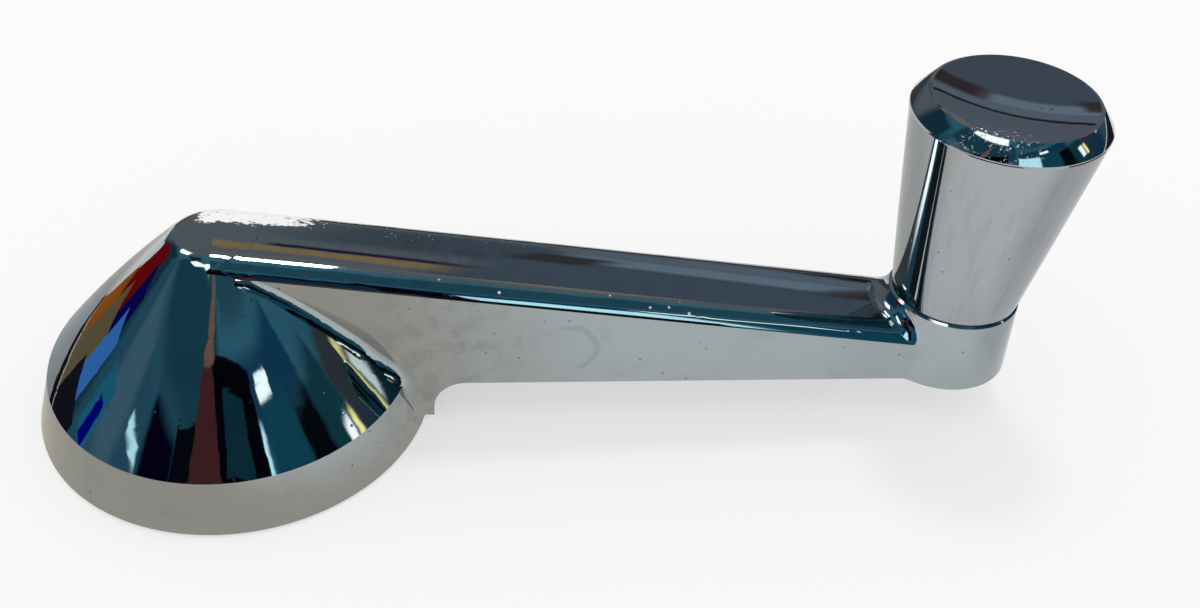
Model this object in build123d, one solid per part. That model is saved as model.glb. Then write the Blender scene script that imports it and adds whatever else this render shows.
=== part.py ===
from build123d import *
import math
import os

# A hand crank for a car window winder. A one-piece die casting (hub, arm and end boss) is held on
# the splined regulator shaft by a spring clip. The knob turns on a headed spindle in the end boss.
# Frame: origin on the hub axis at the door-side face, +X along the arm, +Z away from the door.
# Lengths are millimetres, angles are degrees.

# ---- crank casting: hub
THROW = 100.4               # hub axis to knob axis
SKIRT_BASE_R = 27.9         # outside radius on the door side
SKIRT_TOP_R = 25.45         # where the skirt ends in a crisp crease
SKIRT_H = 7.5
SKIRT_BASE_CHAMFER = 0.4
CONE_TOP_SLOPE = 42.5       # slope of the cone where it runs into the rounded nose
HUB_WALL = 2.6
HUB_RIB_T = 1.6
HUB_RIB_ANGLES = (60, 130, 230, 300)
HUB_RIB_BASE_H = 8.0        # the ribs stop above the clip

# ---- crank casting: splined shaft boss inside the hub
SHAFT_BOSS_R = 8.6
SPLINE_TEETH = 20
SPLINE_TIP_R = 4.7          # tooth tips, the smaller radius of the bore
SPLINE_ROOT_R = 5.25
SPLINE_DEPTH = 12.0
SHAFT_LEAD_R = 5.4          # plain lead-in at the mouth
SHAFT_LEAD_DEPTH = 2.0

# ---- crank casting: arm
ARM_HALF_W = 7.0
ARM_EDGE_H = 26.4           # height of the crisp upper edge, measured on the hub axis
ARM_FALL = 0.1395           # fall of the crown for each millimetre of arm
ARM_BOTTOM_H = 7.1
CROWN_R = 40.0              # camber across the crown
SHOULDER_R = 3.5            # rounding from the crown to the crisp edge
SHOULDER_ANGLE = 62.0       # slope of the shoulder where it ends in the crisp edge
HUB_COVE_R = 2.2            # cove where the arm's sides leave the hub
ROOT_COVE_R = 4.5           # cove under the arm at the hub
ROOT_PAD_T = 0.5            # how far the root stands off the skirt's widest radius
ROOT_PAD_H = 1.0
ARM_WALL = 2.3
ARM_END_WALL = 3.2          # between the hub's hollow and the arm's
ARM_RIB_T = 1.6
ARM_RIB_X = (46.0, 67.0)
ARM_RIB_BASE_GAP = 1.2      # the ribs stop short of the arm's bottom edge

# ---- crank casting: end boss
BOSS_BASE_R = 9.4
BOSS_DRAFT = 4.3            # taper of the end boss towards its top
BOSS_RISE = 1.93            # height of the top over the crown, where the arm meets the boss
BOSS_RIM_CHAMFER = 0.25
BOSS_FILLET_R = 2.6         # coves from the end boss to the crown and to the arm's sides
BOSS_WALL = 3.0             # between the arm's hollow and the end boss's recess
RECESS_R = 6.2              # recess under the boss for the spindle's washers
RECESS_DEPTH = 3.4

# ---- knob and its spindle
KNOB_BASE_R = 8.45
KNOB_MAX_R = 12.2
KNOB_LENGTH = 30.1
KNOB_LIP_R = 10.15          # where the bevel ends and the dished top begins
KNOB_BEVEL_H = 2.5
KNOB_DISH_DEPTH = 1.2
KNOB_SHOULDER_CHAMFER = 0.15
KNOB_LIP_CHAMFER = 0.3
KNOB_BASE_CHAMFER = 0.15
SPINDLE_R = 3.0
SPINDLE_RUN_CLEARANCE = 0.05
SPINDLE_GRIP = 16.0         # length of the ribbed end inside the knob
SPINDLE_RIBS = 12
SPINDLE_RIB_H = 0.15
SPINDLE_PRESS = 0.02        # interference of the ribbed end in the knob
SPINDLE_TIP_GAP = 0.5
HEAD_R = 4.6                # peened head under the washers
HEAD_H = 1.2
HEAD_CHAMFER = 0.5
THRUST_WASHER_R = 8.2
THRUST_WASHER_T = 0.25
FLAT_WASHER_R = 5.7
FLAT_WASHER_T = 0.8
WAVE_WASHER_R = 5.6
WAVE_WASHER_T = 0.35
WAVE_HEIGHT = 0.45
WAVE_COUNT = 3
WASHER_BORE_CLEARANCE = 0.2

# ---- retaining clip
CLIP_T = 1.2
CLIP_W = 2.0
CLIP_GAP = 8.8              # clear width between the legs, which grip the shaft's groove
CLIP_H = 3.2                # underside of the clip above the hub's face
CLIP_SLOT_CLEARANCE = 0.1
CLIP_LEG_X = 10.5           # where the straight legs end, on the arm's side
CLIP_BOW_X = -10.5          # centre of the round bow
CLIP_FLARE = 20.0
CLIP_FLARE_LENGTH = 3.0

# ---- how the casting's forms run into each other
NOSE_STEP = 0.05
COVE_SINK = 0.02
COVE_ROOT = 1.5             # depth of a cove's hidden corner, in shares of its visible one
COVE_START_X = 4.0          # how far along the arm the cove's first section lies
COVE_ON_CONE = (0.0, 0.1, 0.25, 0.43, 0.62, 0.8, 1.0)
COVE_CONE_END = 0.9         # share of the cone's length the cove runs down
COVE_ON_SKIRT = (0.1, 0.35, 0.6, 0.85)

FAR = 200.0                 # reaches past everything, for cuts


def point_on(centre, radius, angle):
    """A point on a circle in a section, with the angle measured from straight up."""
    turn = math.radians(angle)
    return (centre[0] + radius * math.sin(turn), centre[1] + radius * math.cos(turn))


def camber_angle():
    """Angle of the crown's camber where the shoulder takes over from it."""
    sideways = ARM_HALF_W - SHOULDER_R * math.sin(math.radians(SHOULDER_ANGLE))
    return math.degrees(math.asin(sideways / (CROWN_R - SHOULDER_R)))


def camber_centre():
    """Centre of the crown's camber on the hub axis."""
    camber_rise = (CROWN_R - SHOULDER_R) * math.cos(math.radians(camber_angle()))
    edge_rise = SHOULDER_R * math.cos(math.radians(SHOULDER_ANGLE))
    return (0, ARM_EDGE_H - camber_rise - edge_rise)


def shoulder_centre():
    """Centre of the rounding between the crown and its edge."""
    return point_on(camber_centre(), CROWN_R - SHOULDER_R, camber_angle())


# ---- heights and slopes that follow from the sizes above
SLOPE_RUN = math.hypot(1.0, ARM_FALL)
CROWN_TOP_H = camber_centre()[1] + CROWN_R
BOSS_TOP_H = CROWN_TOP_H - (THROW - BOSS_BASE_R) * ARM_FALL + BOSS_RISE
KNOB_BASE_H = BOSS_TOP_H + THRUST_WASHER_T
RECESS_TOP_H = ARM_BOTTOM_H + RECESS_DEPTH


def cone_flank():
    """The cone in half section, from the nose's rounding to the crease at the skirt."""
    slope = math.radians(CONE_TOP_SLOPE)
    start = point_on(shoulder_centre(), SHOULDER_R, CONE_TOP_SLOPE)
    return TangentArc(start, (SKIRT_TOP_R, SKIRT_H), tangent=(math.cos(slope), -math.sin(slope)))


def skirt_flank():
    """The skirt in half section, from the crease down."""
    return Line((SKIRT_TOP_R, SKIRT_H), (SKIRT_BASE_R, 0))


def hub_outline(flank, left, bottom):
    """The hub's half section. Its nose has the crown's own camber and shoulder."""
    centre = camber_centre()
    shoulder = shoulder_centre()
    camber = camber_angle()
    top = point_on(centre, CROWN_R, 0)
    join = point_on(centre, CROWN_R, camber)
    cone_start = point_on(shoulder, SHOULDER_R, CONE_TOP_SLOPE)
    lines = [
        ThreePointArc(top, point_on(centre, CROWN_R, camber / 2), join),
        ThreePointArc(
            join, point_on(shoulder, SHOULDER_R, (camber + CONE_TOP_SLOPE) / 2), cone_start
        ),
        flank,
        skirt_flank(),
        Line((SKIRT_BASE_R, 0), (SKIRT_BASE_R, bottom)) if bottom < 0 else None,
        Line((SKIRT_BASE_R, bottom), (left, bottom)),
        Line((left, bottom), (left, top[1])),
        Line((left, top[1]), top) if left < 0 else None,
    ]
    return make_face(Wire([line for line in lines if line is not None]))


def hub_solid():
    """The hub as turned, with its nose trimmed to the falling crown on the arm's side."""
    outline = hub_outline(cone_flank(), 0, 0)
    rim = outline.vertices().sort_by_distance((SKIRT_BASE_R, 0))[0]
    turned = revolve(Plane.XZ * chamfer(rim, SKIRT_BASE_CHAMFER), Axis.Z)
    slab = Box(
        SKIRT_BASE_R, 2 * ARM_HALF_W - NOSE_STEP, FAR,
        align=(Align.MIN, Align.CENTER, Align.MIN),
    )
    under_crown = arm_length(crown_section(0, -FAR / 2), -ARM_HALF_W, 2 * SKIRT_BASE_R)
    return Rot(0, 0, 180) * turned - (slab - Pos(0, 0, NOSE_STEP) * under_crown)


def hub_core():
    """The straight-sided hollow in the hub, around the shaft boss."""
    flank = Line(cone_flank() @ 0, cone_flank() @ 1)
    inner = offset(hub_outline(flank, -FAR, -FAR), -HUB_WALL, kind=Kind.INTERSECTION)
    ring = Pos(SHAFT_BOSS_R, -1) * Rectangle(FAR, FAR, align=(Align.MIN, Align.MIN))
    core = revolve(Plane.XZ * (inner & ring), Axis.Z)
    for angle in HUB_RIB_ANGLES:
        rib = Pos(0, 0, HUB_RIB_BASE_H) * Box(
            FAR, HUB_RIB_T, FAR, align=(Align.MIN, Align.CENTER, Align.MIN)
        )
        core -= Rot(0, 0, angle) * rib
    return core


def crown_section(inset, depth):
    """Cross-section of the arm on the hub axis, drawn in by an inset and open to a depth."""
    centre = camber_centre()
    camber = camber_angle()
    shoulder = shoulder_centre()
    shoulder_r = SHOULDER_R - inset
    edge_angle = SHOULDER_ANGLE
    if inset > 0:
        edge_angle = math.degrees(math.asin((ARM_HALF_W - inset - shoulder[0]) / shoulder_r))
    top = point_on(centre, CROWN_R - inset, 0)
    join = point_on(centre, CROWN_R - inset, camber)
    middle = point_on(shoulder, shoulder_r, (camber + edge_angle) / 2)
    edge = point_on(shoulder, shoulder_r, edge_angle)
    lines = [
        ThreePointArc((-join[0], join[1]), top, join),
        ThreePointArc(join, middle, edge),
        Line(edge, (edge[0], depth)),
        Line((edge[0], depth), (-edge[0], depth)),
        Line((-edge[0], depth), (-edge[0], edge[1])),
        ThreePointArc((-edge[0], edge[1]), (-middle[0], middle[1]), (-join[0], join[1])),
    ]
    return Plane.YZ * make_face(Wire(lines))


def arm_length(section, start, end):
    """The arm's section carried along its falling crown between two stations."""
    placed = section.moved(Location((start, 0, -start * ARM_FALL)))
    return extrude(placed, (end - start) * SLOPE_RUN, dir=(1 / SLOPE_RUN, 0, -ARM_FALL / SLOPE_RUN))


def above(height):
    """Everything above a height."""
    return Pos(0, 0, height) * Box(2 * FAR, FAR, FAR, align=(Align.CENTER, Align.CENTER, Align.MIN))


def arm_and_boss():
    """Arm and end boss, with the coves that join them."""
    arm = arm_length(crown_section(0, -FAR / 2), 0, THROW) & above(ARM_BOTTOM_H)
    tall = BOSS_TOP_H + 2 * BOSS_FILLET_R - ARM_BOTTOM_H
    top_r = BOSS_BASE_R - tall * math.tan(math.radians(BOSS_DRAFT))
    boss = Pos(THROW, 0, ARM_BOTTOM_H) * Cone(
        BOSS_BASE_R, top_r, tall, align=(Align.CENTER, Align.CENTER, Align.MIN)
    )
    joined = arm + boss
    meeting = THROW - math.sqrt(BOSS_BASE_R ** 2 - ARM_HALF_W ** 2)
    corners = [
        edge for edge in joined.edges()
        if meeting - BOSS_BASE_R / 3 < edge.center().X < meeting + BOSS_BASE_R / 6
        and edge.center().Z > ARM_BOTTOM_H + BOSS_FILLET_R / 2
        and edge.length < 1.5 * ARM_HALF_W
    ]
    joined = fillet(corners, BOSS_FILLET_R)
    joined -= Pos(THROW, 0, BOSS_TOP_H) * Cylinder(
        BOSS_BASE_R + BOSS_FILLET_R, FAR, align=(Align.CENTER, Align.CENTER, Align.MIN)
    )
    rim = joined.edges().filter_by_position(Axis.Z, BOSS_TOP_H - 0.01, BOSS_TOP_H + 0.01)
    return chamfer(rim, BOSS_RIM_CHAMFER)


def cove_start():
    """Share of the cone's length where a ball in the cove first lies clear of the nose."""
    clear = math.hypot(COVE_START_X, ARM_HALF_W + HUB_COVE_R)
    low = 0.0
    high = COVE_CONE_END
    for _ in range(30):
        along = (low + high) / 2
        if (cone_flank() @ along).X - (cone_flank() % along).Y * HUB_COVE_R < clear:
            low = along
        else:
            high = along
    return high


def cove_section(flank, along):
    """Section of a cove: a ball resting on the hub's flank and on the arm's side."""
    at = flank @ along
    run = flank % along
    outward = Vector(-run.Y, run.X)
    reach = at.X + outward.X * HUB_COVE_R
    centre_y = ARM_HALF_W + HUB_COVE_R
    centre_x = math.sqrt(reach ** 2 - centre_y ** 2)
    centre = Vector(centre_x, centre_y, at.Y + outward.Y * HUB_COVE_R)
    to_hub = -Vector(
        outward.X * centre_x / reach, outward.X * centre_y / reach, outward.Y
    ).normalized()
    to_arm = Vector(0, -1, 0)
    ball = HUB_COVE_R + COVE_SINK
    on_hub = centre + to_hub * ball
    on_arm = centre + to_arm * ball
    between = to_hub + to_arm
    deep = centre + between * (COVE_ROOT * ball / (1 + to_hub.dot(to_arm)))
    bend = centre + between.normalized() * HUB_COVE_R
    return make_face(Wire([
        ThreePointArc(on_hub, bend, on_arm), Line(on_arm, deep), Line(deep, on_hub),
    ]))


def hub_cove():
    """Cove between one side of the arm and the hub, from the nose down over the skirt."""
    start = cove_start()
    run = COVE_CONE_END - start
    sections = [cove_section(cone_flank(), start + share * run) for share in COVE_ON_CONE]
    sections += [cove_section(skirt_flank(), along) for along in COVE_ON_SKIRT]
    under_edge = arm_length(crown_section(0, -FAR / 2), 0, THROW)
    wide = Plane.XZ * make_face(Polyline(
        (0, ARM_EDGE_H), (THROW, ARM_EDGE_H - THROW * ARM_FALL), (THROW, 0), (0, 0), close=True,
    ))
    return loft(sections) & (extrude(wide, FAR / 2, both=True) + under_edge)


def arm_root():
    """The foot of the arm on the skirt: a short pad and the cove up to the arm's bottom."""
    face_x = SKIRT_BASE_R + ROOT_PAD_T
    inside = SKIRT_TOP_R - 1
    centre = (face_x + ROOT_COVE_R, ARM_BOTTOM_H - ROOT_COVE_R)
    lines = [
        Line((inside, ROOT_PAD_H), (face_x, ROOT_PAD_H)),
        Line((face_x, ROOT_PAD_H), (face_x, centre[1])),
        ThreePointArc(
            (face_x, centre[1]),
            point_on(centre, ROOT_COVE_R, -45),
            (centre[0], ARM_BOTTOM_H),
        ),
        Line((centre[0], ARM_BOTTOM_H), (centre[0], ARM_BOTTOM_H + 1)),
        Line((centre[0], ARM_BOTTOM_H + 1), (inside, ARM_BOTTOM_H + 1)),
        Line((inside, ARM_BOTTOM_H + 1), (inside, ROOT_PAD_H)),
    ]
    profile = Plane.XZ * make_face(Wire(lines))
    return extrude(profile, ARM_HALF_W, both=True)


def arm_core():
    """The hollow under the arm, with the hub's wall and the cross ribs left standing."""
    start = SHAFT_BOSS_R + ARM_WALL
    end = THROW - RECESS_R - BOSS_WALL
    core = arm_length(crown_section(ARM_WALL, -FAR / 2), start, end)
    core -= Cylinder(SKIRT_TOP_R, FAR) - Cylinder(SKIRT_TOP_R - ARM_END_WALL, FAR)
    core -= Cone(SKIRT_BASE_R, SKIRT_TOP_R, SKIRT_H, align=(Align.CENTER, Align.CENTER, Align.MIN))
    for rib_x in ARM_RIB_X:
        rib = Pos(rib_x, 0, ARM_BOTTOM_H + ARM_RIB_BASE_GAP) * Box(
            ARM_RIB_T, FAR, FAR, align=(Align.CENTER, Align.CENTER, Align.MIN)
        )
        core -= rib
    return core


def spline_bore():
    """The shaft's hole: a plain lead-in, then straight-sided splines to a blind end."""
    bore = Cylinder(SPLINE_TIP_R, SPLINE_DEPTH, align=(Align.CENTER, Align.CENTER, Align.MIN))
    pitch = 2 * math.pi / SPLINE_TEETH
    half_root = SPLINE_ROOT_R * pitch * 0.22
    half_tip = SPLINE_TIP_R * pitch * 0.30
    groove = Polyline(
        (SPLINE_TIP_R - 0.3, -half_tip), (SPLINE_ROOT_R, -half_root),
        (SPLINE_ROOT_R, half_root), (SPLINE_TIP_R - 0.3, half_tip), close=True,
    )
    teeth = PolarLocations(0, SPLINE_TEETH) * extrude(make_face(groove), SPLINE_DEPTH)
    lead = Pos(0, 0, -1) * Cylinder(
        SHAFT_LEAD_R, SHAFT_LEAD_DEPTH + 1, align=(Align.CENTER, Align.CENTER, Align.MIN)
    )
    return bore + teeth + lead


def clip_slots():
    """Slots across both sides of the shaft boss that let the clip's legs through."""
    slot = Pos(0, CLIP_GAP / 2 - CLIP_SLOT_CLEARANCE, CLIP_H - CLIP_SLOT_CLEARANCE) * Box(
        2 * SHAFT_BOSS_R + 2, SHAFT_BOSS_R, CLIP_T + 2 * CLIP_SLOT_CLEARANCE,
        align=(Align.CENTER, Align.MIN, Align.MIN),
    )
    return slot + mirror(slot, Plane.XZ)


def boss_bore():
    """Recess and running bore of the end boss."""
    recess = Pos(THROW, 0, ARM_BOTTOM_H - 1) * Cylinder(
        RECESS_R, RECESS_DEPTH + 1, align=(Align.CENTER, Align.CENTER, Align.MIN)
    )
    bore = Pos(THROW, 0, 0) * Cylinder(
        SPINDLE_R + SPINDLE_RUN_CLEARANCE, FAR, align=(Align.CENTER, Align.CENTER, Align.MIN)
    )
    return recess + bore


def crank_arm():
    """The whole casting: hub, arm and end boss in one piece, cored from the door side."""
    cove = hub_cove()
    body = hub_solid() + arm_and_boss() + arm_root() + cove + mirror(cove, Plane.XZ)
    body -= hub_core()
    body -= arm_core()
    body -= spline_bore()
    body -= clip_slots()
    body -= boss_bore()
    return body


def retaining_clip():
    """Horseshoe spring clip, cut from flat strip, with flared leg ends."""
    inner = CLIP_GAP / 2
    outer = inner + CLIP_W
    ring = Pos(CLIP_BOW_X, 0) * (Circle(outer) - Circle(inner))
    bow = ring & Pos(CLIP_BOW_X, 0) * Rectangle(FAR, FAR, align=(Align.MAX, Align.CENTER))
    leg = Pos(CLIP_BOW_X, inner) * Rectangle(
        CLIP_LEG_X - CLIP_BOW_X, CLIP_W, align=(Align.MIN, Align.MIN)
    )
    flare = Pos(CLIP_LEG_X, inner) * Rot(0, 0, CLIP_FLARE) * Rectangle(
        CLIP_FLARE_LENGTH, CLIP_W, align=(Align.MIN, Align.MIN)
    )
    wedge = Pos(CLIP_LEG_X, inner) * Circle(CLIP_W)
    wedge &= Pos(CLIP_LEG_X, inner) * Rectangle(CLIP_W, CLIP_W, align=(Align.MAX, Align.MIN))
    half = leg + flare + wedge
    flat = bow + half + mirror(half, Plane.XZ)
    return Pos(0, 0, CLIP_H) * extrude(flat, CLIP_T)


def knob():
    """The knob: a flared grip with a bevelled shoulder and a dished top, bored for its spindle."""
    top = KNOB_BASE_H + KNOB_LENGTH
    dish = top - KNOB_DISH_DEPTH
    foot = (KNOB_BASE_R, KNOB_BASE_H)
    shoulder = (KNOB_MAX_R, top - KNOB_BEVEL_H)
    lip = (KNOB_LIP_R, top)
    lines = [
        Line((0, KNOB_BASE_H), foot),
        Line(foot, shoulder),
        Line(shoulder, lip),
        RadiusArc(
            lip, (0, dish), (KNOB_LIP_R ** 2 + KNOB_DISH_DEPTH ** 2) / (2 * KNOB_DISH_DEPTH)
        ),
        Line((0, dish), (0, KNOB_BASE_H)),
    ]
    outline = make_face(Wire(lines))
    for corner, cut in (
        (foot, KNOB_BASE_CHAMFER), (shoulder, KNOB_SHOULDER_CHAMFER), (lip, KNOB_LIP_CHAMFER)
    ):
        outline = chamfer(outline.vertices().sort_by_distance(corner)[0], cut)
    solid = revolve(Plane.XZ * outline, Axis.Z)
    bore = Pos(0, 0, KNOB_BASE_H) * Cylinder(
        SPINDLE_R + SPINDLE_RIB_H - SPINDLE_PRESS, SPINDLE_GRIP + SPINDLE_TIP_GAP,
        align=(Align.CENTER, Align.CENTER, Align.MIN),
    )
    return Pos(THROW, 0, 0) * (solid - bore)


def knob_spindle():
    """Steel spindle: ribbed where the knob holds it, plain in the boss, peened over below."""
    washer_base = RECESS_TOP_H - WAVE_HEIGHT - WAVE_WASHER_T - FLAT_WASHER_T
    shank = Pos(0, 0, washer_base) * Cylinder(
        SPINDLE_R, KNOB_BASE_H - washer_base + SPINDLE_GRIP,
        align=(Align.CENTER, Align.CENTER, Align.MIN),
    )
    rib = Pos(SPINDLE_R, 0, KNOB_BASE_H + 1) * Box(
        2 * SPINDLE_RIB_H, 4 * SPINDLE_RIB_H, SPINDLE_GRIP - 1,
        align=(Align.CENTER, Align.CENTER, Align.MIN),
    )
    ribs = PolarLocations(0, SPINDLE_RIBS) * rib
    head = Pos(0, 0, washer_base) * Cylinder(
        HEAD_R, HEAD_H, align=(Align.CENTER, Align.CENTER, Align.MAX)
    )
    head = chamfer(head.edges().group_by(Axis.Z)[0], HEAD_CHAMFER)
    return Pos(THROW, 0, 0) * (shank + ribs + head)


def plain_washer(radius, thickness, base_height):
    """A flat ring on the knob's axis."""
    ring = Circle(radius) - Circle(SPINDLE_R + WASHER_BORE_CLEARANCE)
    return Pos(THROW, 0, base_height) * extrude(ring, thickness)


def wave_washer():
    """A ring bent into even waves between the flat washer and the recess."""
    base = RECESS_TOP_H - WAVE_HEIGHT - WAVE_WASHER_T
    inner = SPINDLE_R + WASHER_BORE_CLEARANCE
    sections = []
    steps = 8 * WAVE_COUNT
    ring = []
    for step in range(steps):
        turn = 360.0 * step / steps
        lift = WAVE_HEIGHT * (1 - math.cos(math.radians(turn * WAVE_COUNT))) / 2
        ring.append((turn, lift))
    rails = []
    for radius in (inner, WAVE_WASHER_R):
        for thick in (0, WAVE_WASHER_T):
            points = [
                (
                    radius * math.cos(math.radians(turn)),
                    radius * math.sin(math.radians(turn)),
                    lift + thick,
                )
                for turn, lift in ring
            ]
            rails.append(Spline(points, periodic=True))
    low_in, high_in, low_out, high_out = rails
    faces = [
        Face.make_surface_from_curves(low_in, low_out),
        Face.make_surface_from_curves(high_in, high_out),
        Face.make_surface_from_curves(low_in, high_in),
        Face.make_surface_from_curves(low_out, high_out),
    ]
    return Pos(THROW, 0, base) * Solid(Shell(faces))


PIECES = {
    "crank_arm": crank_arm(),
    "retaining_clip": retaining_clip(),
    "knob": knob(),
    "knob_spindle": knob_spindle(),
    "thrust_washer": plain_washer(THRUST_WASHER_R, THRUST_WASHER_T, BOSS_TOP_H),
    "flat_washer": plain_washer(
        FLAT_WASHER_R, FLAT_WASHER_T,
        RECESS_TOP_H - WAVE_HEIGHT - WAVE_WASHER_T - FLAT_WASHER_T,
    ),
    "wave_washer": wave_washer(),
}

os.makedirs("parts", exist_ok=True)
for name, piece in PIECES.items():
    export_step(piece, f"parts/{name}.step")
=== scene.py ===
import math
import bpy
from mathutils import Matrix, Vector

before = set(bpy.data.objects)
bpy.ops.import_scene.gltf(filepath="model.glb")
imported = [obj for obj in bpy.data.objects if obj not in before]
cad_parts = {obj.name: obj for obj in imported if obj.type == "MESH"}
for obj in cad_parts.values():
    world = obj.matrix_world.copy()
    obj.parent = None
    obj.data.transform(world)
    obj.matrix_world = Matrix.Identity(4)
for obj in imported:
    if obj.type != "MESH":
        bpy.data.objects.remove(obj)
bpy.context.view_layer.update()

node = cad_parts

# ---- Crank casting
# Hub, arm and end boss are one zinc die casting, polished outside and chrome plated. The plate
# is worn: fine scratches along the arm, pits, stains on the flat sides, and dull metal inside
# the hollows, where the plating barely reached. Its sizes are in millimetres.


class Field:
    """A value or colour over a surface, with the arithmetic that shading formulas need."""

    def __init__(self, tree, socket):
        self.tree = tree
        self.socket = socket

    def node(self, kind, settings=None, inputs=None, output=0):
        """Adds any node: its settings first, then the values or links of its sockets."""
        made = self.tree.nodes.new(kind)
        for name, value in (settings or {}).items():
            setattr(made, name, value)
        for name, value in (inputs or {}).items():
            if isinstance(value, Field):
                self.tree.links.new(value.socket, made.inputs[name])
            else:
                made.inputs[name].default_value = value
        return Field(self.tree, made.outputs[output])

    def beside(self, *outputs):
        """Other outputs of the node that this value comes from."""
        return [Field(self.tree, self.socket.node.outputs[name]) for name in outputs]

    def math(self, operation, *others):
        """One Math node on this value and up to two more."""
        given = {0: self}
        for place, other in enumerate(others):
            given[place + 1] = other
        return self.node("ShaderNodeMath", {"operation": operation}, given)

    def __add__(self, other):
        return self.math("ADD", other)

    def __radd__(self, other):
        return self.math("ADD", other)

    def __mul__(self, other):
        return self.math("MULTIPLY", other)

    def __rmul__(self, other):
        return self.math("MULTIPLY", other)

    def __sub__(self, other):
        return self.math("SUBTRACT", other)

    def __rsub__(self, other):
        return self.math("MULTIPLY_ADD", -1.0, other)

    def reach(self, other):
        """How far a point lies from where this value and the other are both 0."""
        return (self * self + other * other).math("SQRT")

    def step(self, low, high):
        """0 below low, 1 above high, smooth between; low may be the larger."""
        return self.node(
            "ShaderNodeMapRange", {"interpolation_type": "SMOOTHSTEP"},
            {"Value": self, "From Min": low, "From Max": high},
        )

    def band(self, start, full, fading, end):
        """0 below start, 1 from full to fading, and 0 again above end, smooth between."""
        return self.step(start, full) * self.step(end, fading)

    def blend(self, low, high):
        """A colour from low to high as this value goes from 0 to 1."""
        def socket(colour):
            return colour if isinstance(colour, Field) else (*colour, 1.0)
        return self.node(
            "ShaderNodeMix", {"data_type": "RGBA"},
            {0: self, 6: socket(low), 7: socket(high)}, output=2,
        )


MM_PER_METRE = 1000.0


def new_material(name):
    """An empty material, its Principled shader and its position on the object, in millimetres."""
    material = bpy.data.materials.new(name)
    material.use_nodes = True
    tree = material.node_tree
    shader = tree.nodes["Principled BSDF"]
    place = Field(tree, None).node("ShaderNodeTexCoord", output="Object")
    place = place.node(
        "ShaderNodeVectorMath", {"operation": "SCALE"}, {0: place, "Scale": MM_PER_METRE},
    )
    x = place.node("ShaderNodeSeparateXYZ", inputs={0: place})
    y, z = x.beside("Y", "Z")
    return material, shader, place, x, y, z


def feed(shader, **fields):
    """Links fields to the shader's sockets, with spaces in their names written as underscores."""
    for name, field in fields.items():
        field.tree.links.new(field.socket, shader.inputs[name.replace("_", " ")])


def noise(place, scale, detail=3.0, stretch=(1.0, 1.0, 1.0), rough=0.5):
    """Noise with features of about 1 / scale millimetres, drawn out along the axes."""
    moved = place.node("ShaderNodeMapping", inputs={"Vector": place, "Scale": stretch})
    return moved.node(
        "ShaderNodeTexNoise", inputs={
            "Vector": moved, "Scale": scale, "Detail": detail, "Roughness": rough,
        },
    )


def pits(place, scale, share):
    """Small round pits: 1 in a pit and 0 outside, in a share of the cells."""
    pit_rim, pit_floor = 0.22, 0.10
    cells = {"Vector": place, "Scale": scale}
    near = place.node("ShaderNodeTexVoronoi", inputs=cells)
    chance = place.node("ShaderNodeTexVoronoi", inputs=cells, output="Color")
    chance = chance.node("ShaderNodeSeparateColor", inputs={0: chance})
    return near.step(pit_rim, pit_floor) * chance.step(share, share * 0.9)


def bump(height, strength, distance):
    """A normal bent by a height, for the shader's Normal."""
    return height.node(
        "ShaderNodeBump", inputs={"Height": height, "Strength": strength, "Distance": distance},
    )


PIT_GREY = (0.20, 0.20, 0.19)
# White of frosted wear, partly a painted glare of light on the worn plate.
FROST_AND_GLARE_WHITE = (0.93, 0.93, 0.92)
CAST_DARK = (0.11, 0.11, 0.105)
CAST_LIGHT = (0.24, 0.235, 0.225)
STAIN_TONE = 0.72
POLISH_ROUGHNESS = 0.03
CAST_ROUGHNESS = 0.45


def worn_chrome(name, plate, grain, hollow, frost_and_glare, stain, relief=None):
    """Worn chrome plate. Its last arguments make fields from the place on the object:
    bare metal in the hollows, frosted wear whose white is partly painted glare, grey stains,
    and soft relief in millimetres."""
    material, shader, place, x, y, z = new_material(name)
    in_hollow = hollow(x, y, z)
    frosted_with_glare = frost_and_glare(place, x, y, z)
    stained = stain(place, x, y, z)
    scratches = noise(place, 1.0, 6.0, grain).step(0.60, 0.72)
    fine_pits = pits(place, 0.9, 0.06)
    casting = noise(place, 1.6, 6.0)
    dull = tuple(part * STAIN_TONE for part in plate)
    skin = stained.blend(plate, dull)
    skin = fine_pits.blend(skin, PIT_GREY)
    # The frost's white is partly real wear and partly painted glare.
    skin = frosted_with_glare.blend(skin, FROST_AND_GLARE_WHITE)
    cast = casting.blend(CAST_DARK, CAST_LIGHT)
    # Wear adds to the polish's own roughness, and the hollows are as rough as they were cast.
    rough = POLISH_ROUGHNESS + 0.04 * scratches + 0.08 * stained + 0.5 * frosted_with_glare
    rough = rough + 0.25 * fine_pits + in_hollow * (CAST_ROUGHNESS + 0.15 * casting)
    # Heights in millimetres: the plate's slow swell, pits, hairline scratches, cast grain.
    height = noise(place, 0.35, 2.0) * 0.0035 - fine_pits * 0.004 - scratches * 0.0002
    height = height + (in_hollow * 0.014 + frosted_with_glare * 0.01) * casting
    if relief:
        height = height + relief(x, y, z)
    feed(
        shader,
        Base_Color=in_hollow.blend(skin, cast),
        Metallic=1.0 - frosted_with_glare,
        Roughness=rough,
        Normal=bump(height, 1.0, 1.0 / MM_PER_METRE),
    )
    return material


def dress(name, finish):
    """Gives a piece of the frame its finish."""
    node[name].data.materials.clear()
    node[name].data.materials.append(finish)


CRANK_PLATE = (0.370, 0.415, 0.430)
# How fine the scratches are along x, y and z: they run along the arm.
CRANK_GRAIN = (0.06, 2.2, 2.2)
KNOB_AXIS_X = 100.4
# The hollow's walls: radius at the floor and how much of it goes with each millimetre of height.
CONE_WALL_R, CONE_WALL_LEAN = 30.82, 0.952
SKIRT_WALL_R, SKIRT_WALL_LEAN = 26.52, 0.328
HUB_CEILING_H = 22.5
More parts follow.
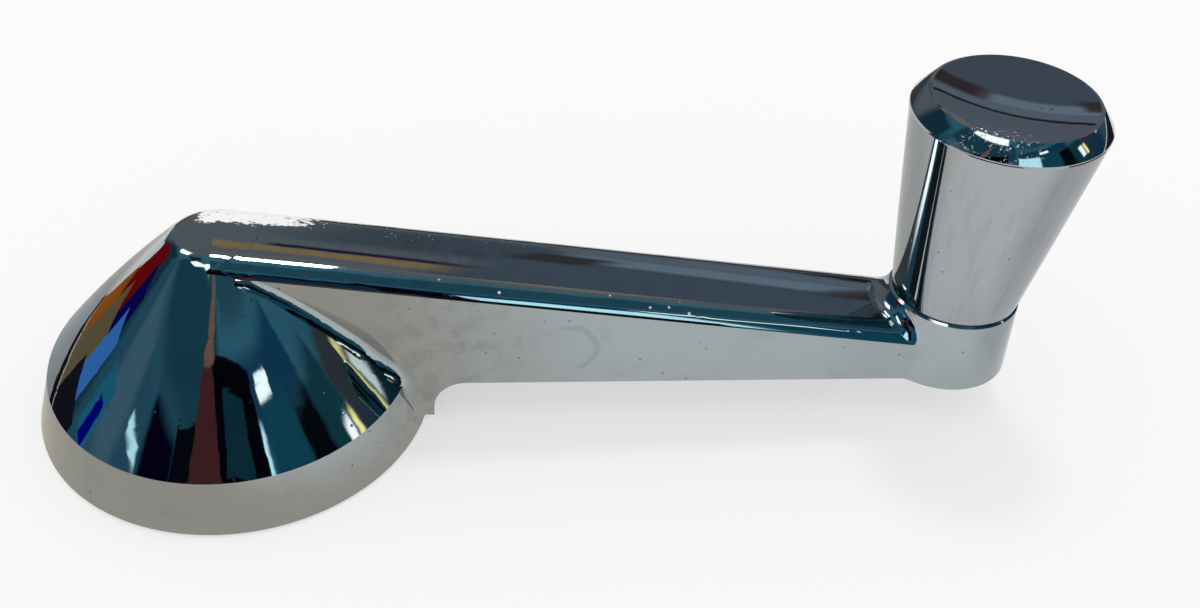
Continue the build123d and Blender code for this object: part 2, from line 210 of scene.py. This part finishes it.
# The arm's crown starts at its edge, which falls towards the knob, and its hollow lies below.
ARM_EDGE_H = 26.4
ARM_FALL = 0.1395
ARM_EDGE_WALL = 0.5
ARM_HOLLOW_HALF_W = 5.0
ARM_HOLLOW_START, ARM_HOLLOW_END = 9.0, 92.9
ARM_FOOT_H = 7.0
BOSS_RECESS_R, BOSS_RECESS_H = 6.4, 17.6
ARM_FLAT_Y = -6.5


def crank_hollow(x, y, z):
    """1 inside the hub, under the arm and in the boss's recess, 0 outside the casting."""
    cone_wall = CONE_WALL_R - z * CONE_WALL_LEAN
    skirt_wall = SKIRT_WALL_R - z * SKIRT_WALL_LEAN
    in_hub = (cone_wall.math("MINIMUM", skirt_wall) - x.reach(y)).step(-0.3, 0.3)
    in_hub = in_hub * z.step(HUB_CEILING_H, HUB_CEILING_H - 0.5)
    side = y.math("ABSOLUTE").step(ARM_HOLLOW_HALF_W, ARM_HOLLOW_HALF_W - 0.2)
    below = (ARM_EDGE_H - ARM_EDGE_WALL - x * ARM_FALL - z).step(0.0, 0.4)
    along = x.band(
        ARM_HOLLOW_START, ARM_HOLLOW_START + 0.5, ARM_HOLLOW_END - 0.5, ARM_HOLLOW_END,
    )
    in_arm = side * below * along * z.step(ARM_FOOT_H, ARM_FOOT_H + 0.3)
    boss = (x - KNOB_AXIS_X).reach(y)
    in_boss = boss.step(BOSS_RECESS_R, BOSS_RECESS_R - 0.1)
    in_boss = in_boss * z.step(BOSS_RECESS_H, BOSS_RECESS_H - 0.1)
    return in_hub.math("MAXIMUM", in_arm).math("MAXIMUM", in_boss)


def crank_frost_and_glare(place, x, y, z):
    """Plate worn to a frost on the far side of the crown, from the nose along the arm, with specks
    around it and nicks along the crown's near edge, all painted white: partly real wear and partly
    a painted reflection of a window's glare, with painted glints on the nicks."""
    grain = noise(place, 1.5, 9.0, (0.7, 1.3, 1.0), 0.75)
    thick = x.band(-4.5, -1.0, 8.0, 18.5) * (y - 0.09 * x).step(0.8, 2.6) * y.step(8.4, 6.6)
    cover = (grain + 0.34 * thick).step(0.70, 0.76) * thick.step(0.0, 0.1)
    specks = pits(place, 1.4, 0.5) * x.band(-2.0, 4.0, 8.0, 60.0) * y.step(1.5, 3.0)
    nicks = pits(place, 0.75, 0.14) * y.band(-6.7, ARM_FLAT_Y, -5.0, -4.6)
    nicks = nicks * x.band(22.0, 30.0, 66.0, 80.0)
    on_crown = z.step(20.0, 22.0)
    return (cover + 0.5 * specks) * on_crown + nicks * 0.8


def crank_stain(place, x, y, z):
    """Grey bloom on the flat sides by the hub, a smear, a faint ring, and clouds on the skirt."""
    cloud = noise(place, 0.16, 6.0, (1.0, 1.0, 1.4), 0.6).step(0.50, 0.68)
    by_hub = x.band(19.0, 26.0, 33.0, 44.0) * noise(place, 0.5, 6.0).step(0.44, 0.62)
    near_side = y.step(ARM_FLAT_Y, ARM_FLAT_Y - 0.4)
    run, rise = x - 46.8, z - 13.2
    ring = (run.reach(rise) + noise(place, 0.4, 3.0)).band(3.6, 4.2, 4.4, 5.0)
    ring = ring * (run + rise * 0.4).step(-1.5, 1.5) * near_side
    smear = x.band(38.5, 41.0, 41.0, 44.0) * z.band(8.0, 11.0, 15.0, 19.5)
    smear = smear * noise(place, 0.9, 8.0, (1.0, 1.0, 0.3)).step(0.40, 0.66) * near_side
    marks = (ring * 0.5).math("MAXIMUM", smear * 0.55)
    return (cloud * 0.25 + by_hub * 0.4).math("MAXIMUM", marks)


dress("crank_arm", worn_chrome(
    "worn_chrome_crank", CRANK_PLATE, CRANK_GRAIN, crank_hollow, crank_frost_and_glare, crank_stain,
))

# ---- Knob
# A second casting with the same plate, turned in the hand for years: the side has fine upright
# rub marks. Polishing has bowed its bevel a little. It is pressed on its spindle.

KNOB_PLATE = (0.383, 0.405, 0.418)
KNOB_GRAIN = (2.0, 2.0, 0.05)
KNOB_TOP_H = 48.05
KNOB_BEVEL_H = 2.5
KNOB_LIP_R = 10.15
KNOB_BORE_R = 3.4
KNOB_BORE_TOP_H = 40.0
BEVEL_BOW = 0.085


def knob_radius(x, y):
    """Distance from the knob's axis."""
    return (x - KNOB_AXIS_X).reach(y)


def knob_hollow(x, y, z):
    """1 inside the knob's bore."""
    in_bore = knob_radius(x, y).step(KNOB_BORE_R, KNOB_BORE_R - 0.1)
    return in_bore * z.step(KNOB_BORE_TOP_H, KNOB_BORE_TOP_H - 1.0)


def knob_frost_and_glare(place, x, y, z):
    """Specks of wear on the bevel, on the side that faces the thumb, painted white:
    partly real wear and partly painted glints beside the bevel's highlight.
    """
    worn = noise(place, 2.4, 8.0, (1.0, 1.0, 1.0), 0.7).step(0.58, 0.63)
    return worn * z.step(45.6, 45.9) * y.step(-6.5, -8.0) * x.step(101.0, 98.0) * 0.8


def knob_stain(place, x, y, z):
    """Upright grey rub marks on the side."""
    streaks = noise(place, 0.9, 6.0, (1.0, 1.0, 0.08), 0.6).step(0.48, 0.66)
    return streaks * z.step(45.0, 42.0) * 0.28


def knob_relief(x, y, z):
    """The bevel's bow, highest half way up."""
    half = KNOB_BEVEL_H / 2
    level = z.math("MAXIMUM", KNOB_TOP_H - KNOB_BEVEL_H).math("MINIMUM", KNOB_TOP_H)
    level = level - (KNOB_TOP_H - half)
    outside = knob_radius(x, y).step(KNOB_LIP_R - 0.1, KNOB_LIP_R)
    return (half * half - level * level) * outside * BEVEL_BOW


dress("knob", worn_chrome(
    "worn_chrome_knob", KNOB_PLATE, KNOB_GRAIN, knob_hollow, knob_frost_and_glare, knob_stain, knob_relief,
))

# ---- Steel pieces
# The clip is blued spring steel, the washers are plain steel strip, and the spindle is turned
# steel with a hammered head. Each has its own tone of grey and some rust in the corners.

RUST_BROWN = (0.13, 0.06, 0.03)


def steel(name, dark, light, roughness, rust):
    """Plain steel with a fine grain and a little rust."""
    material, shader, place, x, y, z = new_material(name)
    tone = noise(place, 0.8, 5.0)
    spots = noise(place, 1.3, 6.0).step(0.72 - rust, 0.80 - rust)
    metal = tone.blend(dark, light)
    feed(
        shader,
        Base_Color=spots.blend(metal, RUST_BROWN),
        Roughness=roughness + 0.25 * spots + 0.12 * tone,
        Metallic=1.0 - 0.8 * spots,
        Normal=bump(tone + spots, 0.3, 0.00003),
    )
    return material


# Darkest and lightest tone, roughness, and how much rust there is.
STEELS = {
    "retaining_clip": ((0.05, 0.06, 0.09), (0.11, 0.12, 0.16), 0.32, 0.02),
    "knob_spindle": ((0.36, 0.36, 0.36), (0.50, 0.50, 0.50), 0.25, 0.05),
    "thrust_washer": ((0.10, 0.10, 0.10), (0.18, 0.18, 0.18), 0.35, 0.05),
    "flat_washer": ((0.28, 0.28, 0.29), (0.40, 0.40, 0.41), 0.30, 0.06),
    "wave_washer": ((0.16, 0.16, 0.18), (0.26, 0.26, 0.28), 0.30, 0.03),
}
for name, (dark, light, roughness, rust) in STEELS.items():
    dress(name, steel("steel_" + name, dark, light, roughness, rust))

# ---- Studio floor
# A plain pale table top, far larger than the crank, so that its edge is out of view. It glows a
# little to the eye and in the metal, which makes it near white without more light on the crank.

FLOOR_HALF = 6.0
FLOOR_DARK = (0.41, 0.41, 0.405)
FLOOR_LIGHT = (0.43, 0.43, 0.425)
FLOOR_GLOW = (0.54, 0.54, 0.54)
BLACK = (0.0, 0.0, 0.0)


def matt_material(name):
    """A new material without any gloss, with its glow at full strength."""
    made = new_material(name)
    for socket, value in (
        ("Roughness", 1.0), ("Specular IOR Level", 0.0), ("Emission Strength", 1.0),
    ):
        made[1].inputs[socket].default_value = value
    return made


def flat_sheet(name, corners, material):
    """A plain four-cornered sheet."""
    mesh = bpy.data.meshes.new(name)
    mesh.from_pydata(corners, [], [(0, 1, 2, 3)])
    mesh.materials.append(material)
    made = bpy.data.objects.new(name, mesh)
    bpy.context.scene.collection.objects.link(made)
    return made


material, shader, place, x, y, z = matt_material("pale_table")
camera_ray = place.node("ShaderNodeLightPath", output="Is Camera Ray")
glossy_ray, through_ray = camera_ray.beside("Is Glossy Ray", "Is Transmission Ray")
seen = camera_ray.math("MAXIMUM", glossy_ray).math("MAXIMUM", through_ray)
feed(
    shader,
    Base_Color=noise(place, 0.004, 3.0).blend(FLOOR_DARK, FLOOR_LIGHT),
    Emission_Color=seen.blend(BLACK, FLOOR_GLOW),
)
floor = flat_sheet(
    "floor",
    [(-FLOOR_HALF, -FLOOR_HALF, 0.0), (FLOOR_HALF, -FLOOR_HALF, 0.0),
     (FLOOR_HALF, FLOOR_HALF, 0.0), (-FLOOR_HALF, FLOOR_HALF, 0.0)],
    material,
)

# ---- Room
# What the polished metal mirrors: a dim blue-green room with a pale ceiling light, grey far wall,
# brown shelves, windows, and coloured boxes at the left. It shows only in reflections, and
# everything else is lit by a plain pale sky and two soft lamps.

SKY_TO_CAMERA = (0.96, 0.96, 0.96)
SKY_LIGHT = (0.80, 0.80, 0.80)
ROOM_AT_TABLE = (0.024, 0.118, 0.175)
ROOM_AT_CEILING = (0.061, 0.224, 0.326)

world = bpy.data.worlds.new("room")
bpy.context.scene.world = world
world.use_nodes = True
sky = Field(world.node_tree, None)
ray = sky.node("ShaderNodeTexCoord", output="Generated")
ray_x = ray.node("ShaderNodeSeparateXYZ", inputs={0: ray})
ray_y, ray_z = ray_x.beside("Y", "Z")
heading = ray_x.math("ARCTAN2", ray_y) * math.degrees(1.0)
height = ray_z.math("ARCSINE") * math.degrees(1.0)

# Each card: heading from and to, height from and to, softness of its edge, all in degrees, and
# colour. Heading 0 is across the crank from the viewer and 90 is beyond the knob.
CARDS = (
    (-400, 400, 74, 95, 8, (0.063, 0.236, 0.322)),
    (84, 180, 51, 84, 3, (0.032, 0.118, 0.175)),
    (-82, -44, -5, 40, 4, (0.015, 0.053, 0.087)),
    (-61, -36, 46.5, 56, 2, (7.000, 7.000, 6.800)),
    (-114, -66, 58, 72, 2, (0.035, 0.045, 0.055)),
    (-177, -90, 34, 56, 4, (0.018, 0.085, 0.130)),
    (-44, 62, 3, 72, 9, (0.183, 0.203, 0.227)),
    (-14, 40, 51, 60, 3, (0.329, 0.295, 0.233)),
    (-2, 30, 43.7, 47.2, 0.9, (0.420, 0.280, 0.130)),
    (2, 34, 42, 43.8, 0.6, (0.016, 0.016, 0.070)),
    (2, 32, 24, 38, 3, (0.095, 0.124, 0.163)),
    (14, 42, 33, 53, 2, (0.104, 0.139, 0.186)),
    (15, 30, 26, 31.5, 1, (0.244, 0.307, 0.396)),
    (14, 40, 22, 26, 1, (0.183, 0.224, 0.291)),
    (13.5, 18, 28, 34, 1, (0.065, 0.060, 0.065)),
    (31, 40, 26, 33, 1.5, (0.061, 0.047, 0.052)),
    (13, 42, -5, 20, 1.5, (0.140, 0.171, 0.221)),
    (12, 42, 20.4, 21.8, 0.5, (0.020, 0.011, 0.013)),
    (-130, -84, -5, 32, 3, (0.033, 0.130, 0.200)),
    (-112, -93, 13, 32, 3, (0.090, 0.200, 0.278)),
    (-146, -127, -5, 33, 2, (0.001, 0.001, 0.014)),
    (-125, -114.5, 23, 24.8, 0.6, (0.976, 1.593, 1.747)),
    (-166, -106, 55, 65, 1, (2.440, 2.478, 2.447)),
    (115, 184, 37, 47, 2, (0.010, 0.074, 0.161)),
    (131, 153, 10, 41, 2, (0.011, 0.105, 0.161)),
    (155, 184, 24, 39, 1, (1.098, 1.829, 1.980)),
    (141, 153, 41.5, 44, 0.5, (2.196, 2.360, 2.330)),
    (97, 117, 5, 36, 2, (0.011, 0.074, 0.104)),
    (116, 131, -5, 37, 2, (0.002, 0.005, 0.007)),
    (80, 97, -5, 31, 1.5, (0.055, 0.062, 0.078)),
    (74, 94, -5, 22, 2, (0.017, 0.061, 0.120)),
    (102, 107, 16, 27, 1, (2.318, 2.360, 2.330)),
    (97.5, 100.5, 15, 26, 1, (2.281, 1.912, 0.804)),
    (68, 78, 16, 25, 1.5, (2.196, 1.888, 1.515)),
)
room = height.step(0.0, 60.0).blend(ROOM_AT_TABLE, ROOM_AT_CEILING)
for left, right, low, high, soft, colour in CARDS:
    inside = heading.band(left - soft, left + soft, right - soft, right + soft)
    inside = inside * height.band(low - soft, low + soft, high - soft, high + soft)
    room = inside.blend(room, colour)
camera_ray = sky.node("ShaderNodeLightPath", output="Is Camera Ray")
glossy_ray = camera_ray.beside("Is Glossy Ray")[0]
shown = camera_ray.blend(glossy_ray.blend(SKY_LIGHT, room), SKY_TO_CAMERA)
background = sky.tree.nodes["Background"]
feed(background, Color=shown)
background.inputs["Strength"].default_value = 1.0

LAMPS_AIM = Vector((0.04, 0.0, 0.0))


def softbox(name, heading_deg, height_deg, distance, size, watts, in_metal):
    """A square lamp that faces the crank from a heading and a height."""
    data = bpy.data.lights.new(name, "AREA")
    data.shape = "SQUARE"
    data.size = size
    data.energy = watts
    lamp = bpy.data.objects.new(name, data)
    bpy.context.scene.collection.objects.link(lamp)
    turn, rise = math.radians(heading_deg), math.radians(height_deg)
    away = Vector((
        math.sin(turn) * math.cos(rise), math.cos(turn) * math.cos(rise), math.sin(rise),
    ))
    lamp.location = LAMPS_AIM + away * distance
    lamp.rotation_euler = away.to_track_quat("Z", "Y").to_euler()
    lamp.visible_glossy = in_metal


softbox(
    "ceiling_light", heading_deg=4, height_deg=71, distance=2.2, size=0.36, watts=9.0,
    in_metal=True,
)
softbox(
    "fill", heading_deg=-120, height_deg=50, distance=2.5, size=2.0, watts=3.0, in_metal=False,
)


def glowing(name, corners, colour):
    """A plain four-cornered card that only the metal shows, in its own even colour."""
    material, shader, place, x, y, z = matt_material(name)
    shader.inputs["Base Color"].default_value = (*BLACK, 1.0)
    shader.inputs["Emission Color"].default_value = (*colour, 1.0)
    card = flat_sheet(name, corners, material)
    card.visible_camera = False
    card.visible_diffuse = False
    card.visible_shadow = False
    return shader, x, y


def board(name, start, end, low, high, colour):
    """A card that stands upright on the line between two places, between two heights."""
    glowing(name, [(*start, low), (*end, low), (*end, high), (*start, high)], colour)


HUB_FLANK = (-0.018, -0.007)


def beside_hub(heading_deg, distance):
    """A place on the floor at a heading from the hub's left flank."""
    turn = math.radians(heading_deg)
    return (HUB_FLANK[0] + distance * math.sin(turn), HUB_FLANK[1] + distance * math.cos(turn))


# Dark boards stand behind the viewer's place, two blue ones at the left of the hub, and dark ones
# where the pale sheet under the crank ends. Each row: both ends on the floor, two heights, colour.
BOARDS = {
    "board_dark": ((-0.024, -0.155), (0.064, -0.155), 0.092, 0.172, (0.001, 0.002, 0.006)),
    "board_inner": ((-0.002, -0.154), (0.038, -0.154), 0.096, 0.146, (0.008, 0.050, 0.075)),
    "board_left": ((-0.095, -0.155), (-0.050, -0.155), 0.086, 0.124, (0.003, 0.004, 0.010)),
    "board_foot": ((-0.085, -0.153), (0.045, -0.153), 0.079, 0.091, (0.150, 0.040, 0.045)),
    "board_low": ((0.045, -0.155), (0.130, -0.155), 0.060, 0.100, (0.012, 0.010, 0.016)),
    "box_teal": ((-0.084, -0.026), (-0.084, -0.011), 0.018, 0.039, (0.022, 0.201, 0.338)),
    "box_deep": ((-0.083, -0.023), (-0.083, -0.016), 0.018, 0.031, (0.001, 0.002, 0.303)),
    "sheet_end_far": ((-0.100, 0.170), (0.260, 0.170), 0.0, 0.046, (0.073, 0.071, 0.072)),
    "sheet_end_right": ((0.240, 0.170), (0.240, -0.120), 0.0, 0.042, (0.015, 0.019, 0.033)),
}
for name, row in BOARDS.items():
    board(name, *row)

# Two brown boards with slanting sides stand before the dark ones. Each row: x of the foot's ends
# and of the top's, two heights, colour.
BROWN_Y = -0.150
for name, foot, top, low, high, colour in (
    ("board_brown", (-0.060, -0.010), (-0.022, -0.048), 0.084, 0.158, (0.105, 0.030, 0.034)),
    ("board_tan", (-0.048, -0.022), (-0.001, -0.009), 0.158, 0.245, (0.300, 0.165, 0.120)),
):
    corners = [(x, BROWN_Y, low) for x in foot] + [(x, BROWN_Y, high) for x in top]
    glowing(name, corners, colour)

# Low boxes curve round the hub's left flank. Each row: heading and distance of one end, and of
# the other, two heights, colour.
BOXES = {
    "box_foot": ((-92, 0.065), (-36, 0.065), 0.0, 0.003, (0.010, 0.009, 0.012)),
    "box_black": ((-92, 0.065), (-65, 0.065), 0.003, 0.015, (0.012, 0.012, 0.021)),
    "box_olive": ((-70, 0.065), (-50, 0.065), 0.003, 0.025, (0.200, 0.150, 0.080)),
    "box_orange": ((-51, 0.0645), (-38, 0.065), 0.003, 0.018, (0.420, 0.120, 0.012)),
    "box_red": ((-66, 0.067), (-40, 0.067), 0.016, 0.060, (0.244, 0.005, 0.005)),
    "box_blue": ((-84, 0.065), (-70, 0.065), 0.015, 0.035, (0.061, 0.260, 0.757)),
    "box_navy": ((-78, 0.066), (-62, 0.066), 0.020, 0.046, (0.004, 0.004, 0.128)),
}
for name, (start, end, low, high, colour) in BOXES.items():
    board(name, beside_hub(*start), beside_hub(*end), low, high, colour)

# Painted shade: around the hub and knob lie soft round cards, seen only in the metal and darker
# than the sheet's glow, for the shade on the sheet there. Each row, in millimetres: middle x and
# y, radius of full shade, radius where it has cleared; then its colour.
PAINTED_SHADES = (
    (-45.0, -10.0, 60.0, 105.0, (0.676, 0.600, 0.520)),
    (75.0, 42.0, 22.0, 48.0, (0.660, 0.660, 0.640)),
    (158.0, 0.0, 30.0, 62.0, (0.700, 0.700, 0.720)),
    (-45.0, 24.0, 14.0, 40.0, (0.420, 0.440, 0.460)),
)
SHADE_LIFT = 0.0002
SHADE_GAP = 0.0001
for number, (middle_x, middle_y, full, clear, colour) in enumerate(PAINTED_SHADES):
    west, east = (middle_x - clear) / MM_PER_METRE, (middle_x + clear) / MM_PER_METRE
    south, north = (middle_y - clear) / MM_PER_METRE, (middle_y + clear) / MM_PER_METRE
    level = SHADE_LIFT + SHADE_GAP * number
    # Each card is painted shade on the sheet, seen only in the metal.
    shader, x, y = glowing(
        "painted_sheet_shade_%d" % number,
        [(west, south, level), (east, south, level), (east, north, level), (west, north, level)],
        colour,
    )
    feed(shader, Alpha=(x - middle_x).reach(y - middle_y).step(clear, full))

# ---- Camera
# A hand-held view from in front of the crank and above it, aimed a little off the middle.

CAMERA_AT = (0.03315, -0.13254, 0.12773)
CAMERA_RIGHT = Vector((0.9996283, -0.0255363, 0.0095445))
CAMERA_DOWN = Vector((-0.0099563, -0.6678950, -0.7441889))
CAMERA_AHEAD = Vector((0.0253785, 0.7438174, -0.6679010))
camera_data = bpy.data.cameras.new("camera")
camera_data.sensor_width = 36.0
camera_data.lens = 37.744
camera_data.shift_x = 0.0838
camera_data.shift_y = 0.0301
camera_data.clip_start = 0.01
camera = bpy.data.objects.new("camera", camera_data)
bpy.context.scene.collection.objects.link(camera)
camera.matrix_world = (
    Matrix.Translation(CAMERA_AT)
    @ Matrix((CAMERA_RIGHT, -CAMERA_DOWN, -CAMERA_AHEAD)).transposed().to_4x4()
)
bpy.context.scene.camera = camera
bpy.context.scene.view_settings.view_transform = "Standard"
